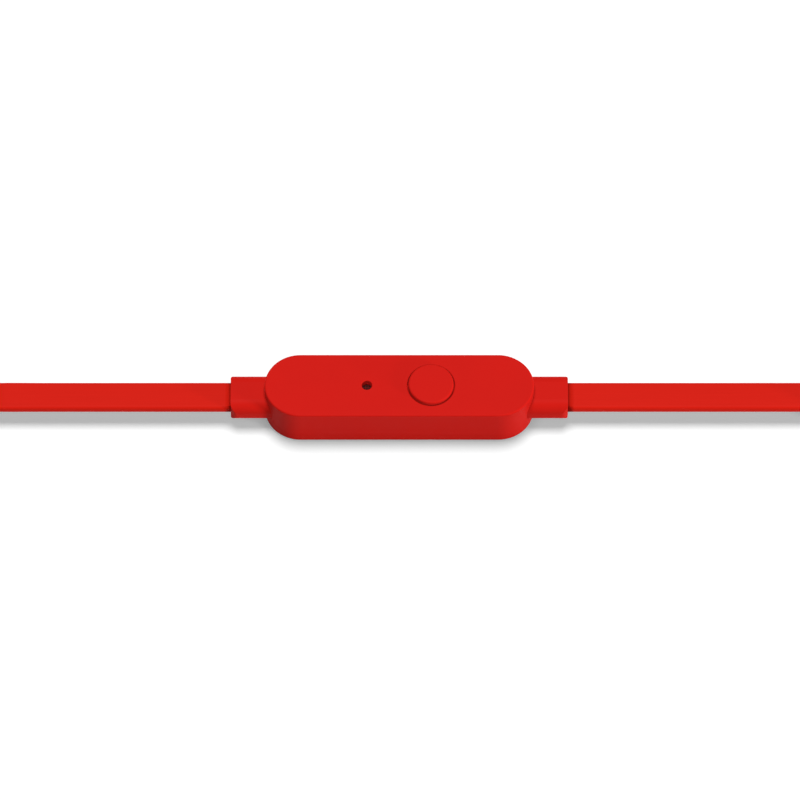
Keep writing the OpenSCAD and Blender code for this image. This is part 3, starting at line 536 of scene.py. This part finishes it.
# %% Extruded TPE
LINE_LENGTH, LINE_PITCH, LINE_DEPTH = 12 * mm, 0.25 * mm, 0.0016 * mm
LINE_TONE = 0.02
cord_tpe, tree, shader = new_material(
    "extruded_TPE", Roughness=0.46, IOR=1.5, Specular_IOR_Level=0.03)
cord_map = add_node(tree, "ShaderNodeUVMap", uv_map="along_cord").outputs["UV"]
stretched = add_node(tree, "ShaderNodeMapping", {
    "Vector": cord_map, "Scale": (1 / LINE_LENGTH, 1 / LINE_PITCH, 1)})
die_lines = add_node(tree, "ShaderNodeTexNoise", {
    "Vector": stretched.outputs["Vector"], "Scale": 1.0, "Detail": 2.0})
cord_relief = add_node(tree, "ShaderNodeBump", {
    "Height": die_lines.outputs["Fac"], "Strength": 1.0, "Distance": LINE_DEPTH})
cord_tone = add_node(tree, "ShaderNodeMapRange", {
    "Value": die_lines.outputs["Fac"], "From Min": NOISE_LOW, "From Max": NOISE_HIGH,
    "To Min": 1 - LINE_TONE, "To Max": 1 + LINE_TONE})
cord_dye = add_node(tree, "ShaderNodeHueSaturation", {
    "Color": linear(CORD_RED), "Value": cord_tone.outputs["Result"]})
tree.links.new(cord_dye.outputs["Color"], shader.inputs["Base Color"])
tree.links.new(cord_relief.outputs["Normal"], shader.inputs["Normal"])
print("made:", cord_tpe.name)

# %% [markdown]
# ## Plated and stamped metal
#
# The jack's contacts are turned from brass and plated with nickel, a warm grey metal. The
# lathe leaves rings round its axis, which runs along X here, so the noise is squeezed along
# X and stretched across it. They are drawn about 0.1 mm apart, coarser than real ones, so
# that they show. The switch's case, the capsule and the magnet are pressed or plated too,
# and take the same steps with lines that run another way.

# %% Metals
GLOSS_SPREAD = 0.15


def lined_metal(name, colour, roughness, squeeze, depth):
    """A metal with fine lines. Squeeze is how close the lines lie along x, y and z, per mm."""
    material, tree, shader = new_material(name, Roughness=roughness, Metallic=1.0)
    shader.inputs["Base Color"].default_value = linear(colour)
    place = add_node(tree, "ShaderNodeTexCoord").outputs["Object"]
    squeezed = add_node(tree, "ShaderNodeMapping", {
        "Vector": place, "Scale": [n / mm for n in squeeze]})
    lines = add_node(tree, "ShaderNodeTexNoise", {
        "Vector": squeezed.outputs["Vector"], "Scale": 1.0, "Detail": 3.0, "Roughness": 0.6})
    relief = add_node(tree, "ShaderNodeBump", {
        "Height": lines.outputs["Fac"], "Strength": 1.0, "Distance": depth})
    gloss = add_node(tree, "ShaderNodeMapRange", {
        "Value": lines.outputs["Fac"], "From Min": NOISE_LOW, "From Max": NOISE_HIGH,
        "To Min": roughness * (1 - GLOSS_SPREAD), "To Max": roughness * (1 + GLOSS_SPREAD)})
    tree.links.new(relief.outputs["Normal"], shader.inputs["Normal"])
    tree.links.new(gloss.outputs["Result"], shader.inputs["Roughness"])
    return material


plated_brass = lined_metal("nickel_plated_brass", "#c9c2b4", roughness=0.2,
                           squeeze=(9, 0.3, 0.3), depth=0.0006 * mm)
stamped_steel = lined_metal("stamped_stainless_steel", "#bfc0c0", roughness=0.32,
                            squeeze=(0.6, 8, 0.6), depth=0.0006 * mm)
drawn_aluminium = lined_metal("drawn_aluminium", "#d3d5d8", roughness=0.3,
                              squeeze=(0.5, 0.5, 8), depth=0.0005 * mm)
plated_magnet = lined_metal("nickel_plated_neodymium", "#c4beb2", roughness=0.24,
                            squeeze=(2, 2, 2), depth=0.0004 * mm)
print("made:", plated_brass.name, stamped_steel.name, drawn_aluminium.name, plated_magnet.name)

# %% [markdown]
# ## Mesh, film, board and wires
#
# A mesh of threads would be far too fine to build, so it is drawn. Two waves at right angles
# make the threads, and where both are low there is a hole, painted dark: painted shade for the
# dim space seen through it. The dust mesh behind the microphone's hole is woven of dark red
# polyester. The one in each nozzle is etched steel.
# Both are drawn coarser than real ones, whose threads lie near 0.1 mm apart, so that they
# show. A wave texture repeats every pi / 10 at a scale of 1, so its scale here is that
# length over the pitch.

# %% Meshes
WAVE_PERIOD = math.pi / 10


def mesh_cloth(name, thread, hole_shade, pitch, metallic, roughness):
    """Threads along x and y, pitch metres apart, round holes whose dark colour is painted shade.
    """
    material, tree, shader = new_material(name, Roughness=roughness, Metallic=metallic)
    place = add_node(tree, "ShaderNodeTexCoord").outputs["Object"]
    waves = [
        add_node(tree, "ShaderNodeTexWave", {
            "Vector": place, "Scale": WAVE_PERIOD / pitch, "Distortion": 0.0},
            wave_type="BANDS", bands_direction=axis).outputs["Fac"]
        for axis in ("X", "Y")
    ]
    threads = add_node(tree, "ShaderNodeMath", {0: waves[0], 1: waves[1]}, operation="MAXIMUM")
    sharper = add_node(tree, "ShaderNodeMapRange", {
        "Value": threads.outputs[0], "From Min": 0.45, "From Max": 0.7})
    # Where the threads part, the colour is the painted shade of the holes.
    tint = add_node(tree, "ShaderNodeMix", {
        "Factor": sharper.outputs["Result"], "A": linear(hole_shade), "B": linear(thread)},
        data_type="RGBA")
    relief = add_node(tree, "ShaderNodeBump", {
        "Height": threads.outputs[0], "Strength": 1.0, "Distance": pitch / 12})
    tree.links.new(tint.outputs["Result"], shader.inputs["Base Color"])
    tree.links.new(relief.outputs["Normal"], shader.inputs["Normal"])
    return material


# The second colour of each mesh is the painted shade seen through its holes.
dust_mesh = mesh_cloth("woven_polyester_mesh", "#5c0c08", "#280403", pitch=0.315 * mm,
                       metallic=0.0, roughness=0.6)
dust_mesh.node_tree.nodes["Principled BSDF"].inputs["Specular IOR Level"].default_value = 0.1
nozzle_mesh = mesh_cloth("etched_steel_mesh", "#a9abad", "#0c0c0d", pitch=0.34 * mm,
                         metallic=1.0, roughness=0.35)
print("made:", dust_mesh.name, nozzle_mesh.name)

# %% [markdown]
# ## The elastic ties
#
# The folded cord is held by woven elastic. Its rubber cores run round the bundle as ribs,
# 0.5 mm apart across the band, and the yarn over them gives a fine cross weave. The band
# goes over and down in turn, so y plus z serves as the way round it. The colour follows the
# weave's height: painted shade in its grooves and a painted highlight on its ridges.

# %% Woven elastic
RIB_PITCH, YARN_PITCH = 0.5 * mm, 0.3 * mm
YARN_SHARE = 0.35
elastic, tree, shader = new_material("woven_elastic", Roughness=0.75, IOR=1.5)
shader.inputs["Sheen Weight"].default_value = 0.3
place = add_node(tree, "ShaderNodeTexCoord").outputs["Object"]
axes = add_node(tree, "ShaderNodeSeparateXYZ", {"Vector": place})
around = add_node(tree, "ShaderNodeMath", {
    0: axes.outputs["Y"], 1: axes.outputs["Z"]}, operation="ADD")
rib_angle = add_node(tree, "ShaderNodeMath", {
    0: axes.outputs["X"], 1: 2 * math.pi / RIB_PITCH}, operation="MULTIPLY")
yarn_angle = add_node(tree, "ShaderNodeMath", {
    0: around.outputs[0], 1: 2 * math.pi / YARN_PITCH}, operation="MULTIPLY")
ribs = add_node(tree, "ShaderNodeMath", {0: rib_angle.outputs[0]}, operation="SINE")
yarns = add_node(tree, "ShaderNodeMath", {0: yarn_angle.outputs[0]}, operation="SINE")
weave = add_node(tree, "ShaderNodeMath", {
    0: yarns.outputs[0], 1: YARN_SHARE, 2: ribs.outputs[0]}, operation="MULTIPLY_ADD")
# Darker where the weave lies low and lighter where it rises: painted shade and highlight.
weave_shade_and_highlight = add_node(tree, "ShaderNodeMapRange", {
    "Value": weave.outputs[0], "From Min": -1 - YARN_SHARE, "From Max": 1 + YARN_SHARE,
    "To Min": 0.6, "To Max": 1.25})
painted_weave_shading = add_node(tree, "ShaderNodeHueSaturation", {
    "Color": linear("#2b2b2f"), "Value": weave_shade_and_highlight.outputs["Result"]})
weave_relief = add_node(tree, "ShaderNodeBump", {
    "Height": weave.outputs[0], "Strength": 1.0, "Distance": 0.03 * mm})
tree.links.new(painted_weave_shading.outputs["Color"], shader.inputs["Base Color"])
tree.links.new(weave_relief.outputs["Normal"], shader.inputs["Normal"])
print("made:", elastic.name)

# %% [markdown]
# ## Inside the remote and the earbuds
#
# The board is glass-fibre laminate under green solder mask, with copper tracks that show as
# lighter strips. Each wire has its own colour, so the colour steps along y, once for each
# row. The diaphragm is clear film, pressed into fine rings round its middle.

# %% Board
TRACK_CELL = 4 * mm
board_mask, tree, shader = new_material("solder_masked_laminate", Roughness=0.35, IOR=1.52)
place = add_node(tree, "ShaderNodeTexCoord").outputs["Object"]
tracks = add_node(tree, "ShaderNodeTexBrick", {
    "Vector": place, "Color1": linear("#1d5a33"), "Color2": linear("#236b3d"),
    "Mortar": linear("#3f8a4f"), "Scale": 1 / TRACK_CELL, "Mortar Size": 0.03,
    "Mortar Smooth": 0.2, "Brick Width": 0.9, "Row Height": 0.22})
track_relief = add_node(tree, "ShaderNodeBump", {
    "Height": tracks.outputs["Fac"], "Strength": 1.0, "Distance": 0.03 * mm})
tree.links.new(tracks.outputs["Color"], shader.inputs["Base Color"])
tree.links.new(track_relief.outputs["Normal"], shader.inputs["Normal"])
print("made:", board_mask.name)

# %% Wires
WIRE_PITCH = 1 * mm
WIRE_COLOURS = ("#b3201c", "#1f7a3a", "#c9a35a", "#2447a8")
insulation, tree, shader = new_material("insulated_copper_wire", Roughness=0.4, IOR=1.52)
place = add_node(tree, "ShaderNodeTexCoord").outputs["Object"]
axes = add_node(tree, "ShaderNodeSeparateXYZ", {"Vector": place})
row = add_node(tree, "ShaderNodeMapRange", {
    "Value": axes.outputs["Y"], "From Min": -2 * WIRE_PITCH, "From Max": 2 * WIRE_PITCH})
colours = add_node(tree, "ShaderNodeValToRGB", {"Fac": row.outputs["Result"]})
ramp = colours.color_ramp
ramp.interpolation = "CONSTANT"
while len(ramp.elements) < len(WIRE_COLOURS):
    ramp.elements.new(0.5)
for i, colour in enumerate(WIRE_COLOURS):
    ramp.elements[i].position = i / len(WIRE_COLOURS)
    ramp.elements[i].color = linear(colour)
tree.links.new(colours.outputs["Color"], shader.inputs["Base Color"])
print("made:", insulation.name, "with", len(ramp.elements), "colours")

# %% Diaphragm
FILM_RING = 0.5 * mm
print("pressed rings of the film, apart in mm:", FILM_RING / mm)


def pressed_film(name, middle):
    """Clear film with pressed rings round the axis of one earbud."""
    material, tree, shader = new_material(name, Roughness=0.25, IOR=1.57)
    shader.inputs["Base Color"].default_value = linear("#d9d2c0")
    place = add_node(tree, "ShaderNodeTexCoord").outputs["Object"]
    centred = add_node(tree, "ShaderNodeMapping", {
        "Vector": place, "Location": (-middle.x, -middle.y, -middle.z)})
    rings = add_node(tree, "ShaderNodeTexWave", {
        "Vector": centred.outputs["Vector"], "Scale": WAVE_PERIOD / FILM_RING},
        wave_type="RINGS", rings_direction="Z")
    relief = add_node(tree, "ShaderNodeBump", {
        "Height": rings.outputs["Fac"], "Strength": 1.0, "Distance": 0.04 * mm})
    tree.links.new(relief.outputs["Normal"], shader.inputs["Normal"])
    return material


# %% [markdown]
# ## Dressing the pieces
#
# Each solid keeps its shape and gets the finish of its real material.

# %% Dress the cords and the solids


def dress(material, *names):
    """Gives solids of the frame a material."""
    for name in names:
        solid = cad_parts[name]
        solid.data.materials.clear()
        solid.data.materials.append(material)


for cord in (upper_cord, main_cord, left_cord, right_cord):
    cord.data.materials.append(cord_tpe)
for tip in (left_tip, right_tip):
    tip.data.materials.append(silicone)
dress(satin_abs, "remote_top_shell", "remote_bottom_cover", "remote_button", "splitter_shell",
      "splitter_cover", "plug_body")
dress(soft_tpe, "remote_relief_left", "remote_relief_right", "plug_relief_collar")
dress(plated_brass, "jack_sleeve", "jack_ring_rear", "jack_ring_front", "jack_tip")
dress(black_abs, "jack_insulators", "switch_plunger")
dress(elastic, "main_hank_ties", "branch_hank_ties")
dress(board_mask, "remote_circuit_board")
dress(stamped_steel, "switch_body")
dress(drawn_aluminium, "microphone_capsule")
dress(gasket_rubber, "microphone_gasket")
dress(dust_mesh, "microphone_mesh")
dress(insulation, "remote_wires")
for side in ("left", "right"):
    dress(satin_abs, side + "_back_cap", side + "_barrel", side + "_front")
    dress(soft_tpe, side + "_bud_relief")
    dress(black_abs, side + "_driver_frame")
    dress(plated_magnet, side + "_driver_magnet")
    dress(nozzle_mesh, side + "_nozzle_mesh")
    dress(silicone, side + "_ear_tip")
    barrel_low, barrel_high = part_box(side + "_barrel")
    film = pressed_film(side + "_pressed_film", (barrel_low + barrel_high) / 2)
    dress(film, side + "_diaphragm")
undressed = [name for name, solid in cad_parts.items() if not solid.data.materials]
print("solids:", len(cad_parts), "without a finish:", undressed)


# %% [markdown]
# ## The table
#
# A white table catches the shadow. The lamps alone would leave it light grey, so what the
# camera sees gets a little painted glow on top, and so does what a shiny metal mirrors. The
# glow fades within 1.5 mm of anything that lies on the table: that is painted shade, as light
# fades in a real crevice.

# %% Table
TABLE_SIZE = 4
FLOOR_LIFT = 0.2
CREVICE = 1.5 * mm
bpy.ops.object.select_all(action="DESELECT")
bpy.ops.mesh.primitive_plane_add(size=TABLE_SIZE)
floor = bpy.context.object
floor.name = "floor"
floor_paint = bpy.data.materials.new("white_table")
floor_paint.use_nodes = True
tree = floor_paint.node_tree
tree.nodes.clear()
ray = add_node(tree, "ShaderNodeLightPath")
seen_or_mirrored = add_node(tree, "ShaderNodeMath", {
    0: ray.outputs["Is Camera Ray"], 1: ray.outputs["Is Glossy Ray"]}, operation="MAXIMUM")
sees_white = add_node(tree, "ShaderNodeMath", {
    0: seen_or_mirrored.outputs[0], 1: ray.outputs["Is Transmission Ray"]}, operation="MAXIMUM")
bounce = add_node(tree, "ShaderNodeBsdfDiffuse", {"Color": linear("#c2c2c2")})
paper = add_node(tree, "ShaderNodeBsdfDiffuse", {"Color": linear("#f8f8f8")})
# The occlusion dims the glow beside the pieces: painted contact shade on the table.
painted_crevice_shade = add_node(tree, "ShaderNodeAmbientOcclusion", {"Distance": CREVICE}, samples=8)
painted_glow = add_node(tree, "ShaderNodeEmission", {
    "Color": painted_crevice_shade.outputs["Color"], "Strength": FLOOR_LIFT})
seen = add_node(tree, "ShaderNodeAddShader", {0: paper.outputs[0], 1: painted_glow.outputs[0]})
either = add_node(tree, "ShaderNodeMixShader", {
    0: sees_white.outputs[0], 1: bounce.outputs[0], 2: seen.outputs[0]})
add_node(tree, "ShaderNodeOutputMaterial", {"Surface": either.outputs[0]})
floor.data.materials.append(floor_paint)
print("table:", floor.name, "with", floor_paint.name)

# %% [markdown]
# ## A neutral shadow
#
# Saturated red plastic would throw red light on the table and tint the shadow pink, far more
# than in a room whose walls send white light back from all sides. The pieces are therefore
# left out of the light that bounces from one surface to another.

# %% Keep the table neutral
pieces = [thing for thing in bpy.context.scene.objects if thing.type == "MESH" and thing != floor]
for piece in pieces:
    piece.visible_diffuse = False
print("pieces left out of bounced light:", len(pieces))

# %% [markdown]
# ## The lamps
#
# A square soft box hangs above the table and leans a little to the back, so that the shadow
# comes out in front and fades away softly. A low fill from the right lights the upright
# walls. It comes in so flat that it hardly lights the table or the top of the remote, and it
# makes the right end of the wall glow while the left end stays dark.

# %% Lamps


def soft_box(name, azimuth, elevation, size, watts):
    """A square lamp, 1 m away. Azimuth 0 is the front and 90 the right, in degrees."""
    around, up = math.radians(azimuth), math.radians(elevation)
    place = Vector((
        math.sin(around) * math.cos(up), -math.cos(around) * math.cos(up), math.sin(up)))
    bpy.ops.object.light_add(type="AREA", location=place)
    lamp = bpy.context.object
    lamp.name = name
    lamp.rotation_euler = (-place).to_track_quat("-Z", "Y").to_euler()
    lamp.data.size = size
    lamp.data.energy = watts


soft_box("overhead", azimuth=180, elevation=80, size=0.42, watts=7.25)
soft_box("right_fill", azimuth=60, elevation=5.5, size=0.16, watts=6.3)

# %% [markdown]
# ## The room
#
# A weak even light stands for the white room. The camera itself sees plain white instead.

# %% Room
ROOM = 0.225
world = bpy.data.worlds.new("studio")
bpy.context.scene.world = world
world.use_nodes = True
tree = world.node_tree
tree.nodes.clear()
ray = add_node(tree, "ShaderNodeLightPath")
room = add_node(tree, "ShaderNodeBackground", {"Color": (1, 1, 1, 1), "Strength": ROOM})
white = add_node(tree, "ShaderNodeBackground", {"Color": (1, 1, 1, 1), "Strength": 1.0})
either = add_node(tree, "ShaderNodeMixShader", {
    0: ray.outputs["Is Camera Ray"], 1: room.outputs[0], 2: white.outputs[0]})
add_node(tree, "ShaderNodeOutputWorld", {"Surface": either.outputs[0]})
bpy.context.scene.view_settings.view_transform = "Standard"
print("room:", world.name, "at", ROOM)
